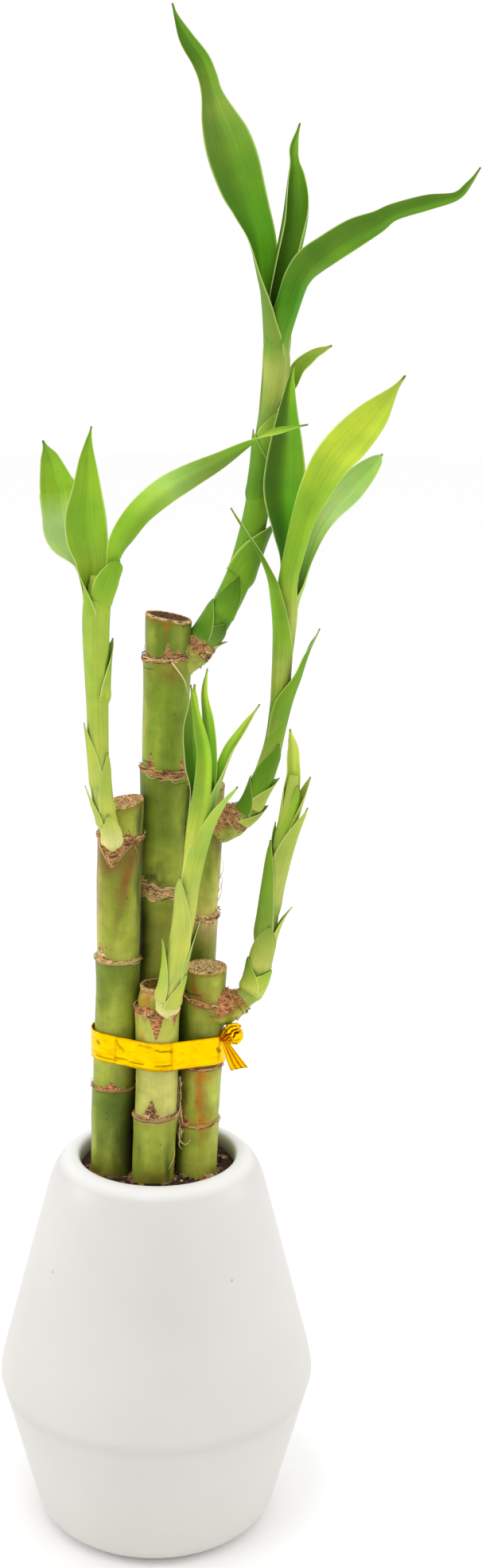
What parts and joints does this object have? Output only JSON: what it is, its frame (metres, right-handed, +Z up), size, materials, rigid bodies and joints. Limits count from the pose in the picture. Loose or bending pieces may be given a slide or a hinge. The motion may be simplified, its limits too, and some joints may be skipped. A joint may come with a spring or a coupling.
{
  "type": "lucky bamboo in a vase",
  "caption": "Tied lucky bamboo canes with leafy shoots standing in potting soil in a white two-cone ceramic vase.",
  "frame": {"origin": "centre of the vase's flat base", "axes": "+Z up along the vase and the canes, -Y towards the front of the plant, +X to its right"},
  "size_m": [0.1395, 0.0998, 0.4679],
  "materials": {
    "vase_ceramic": "satin",
    "potting_soil": "matte",
    "cane": "satin",
    "leaf": "satin",
    "gold_foil": "gloss"
  },
  "bodies": {
    "root": {"vase": "vase_ceramic", "soil": "potting_soil", "cane_a": "cane", "cane_b": "cane", "cane_c": "cane", "cane_d": "cane", "cane_e": "cane", "shoot_a": "leaf", "shoot_b": "leaf", "shoot_c": "leaf", "shoot_d": "leaf", "shoot_e": "leaf", "ribbon": "gold_foil", "ribbon_knot": "gold_foil", "ribbon_tail": "gold_foil"}
  },
  "joints": []
}
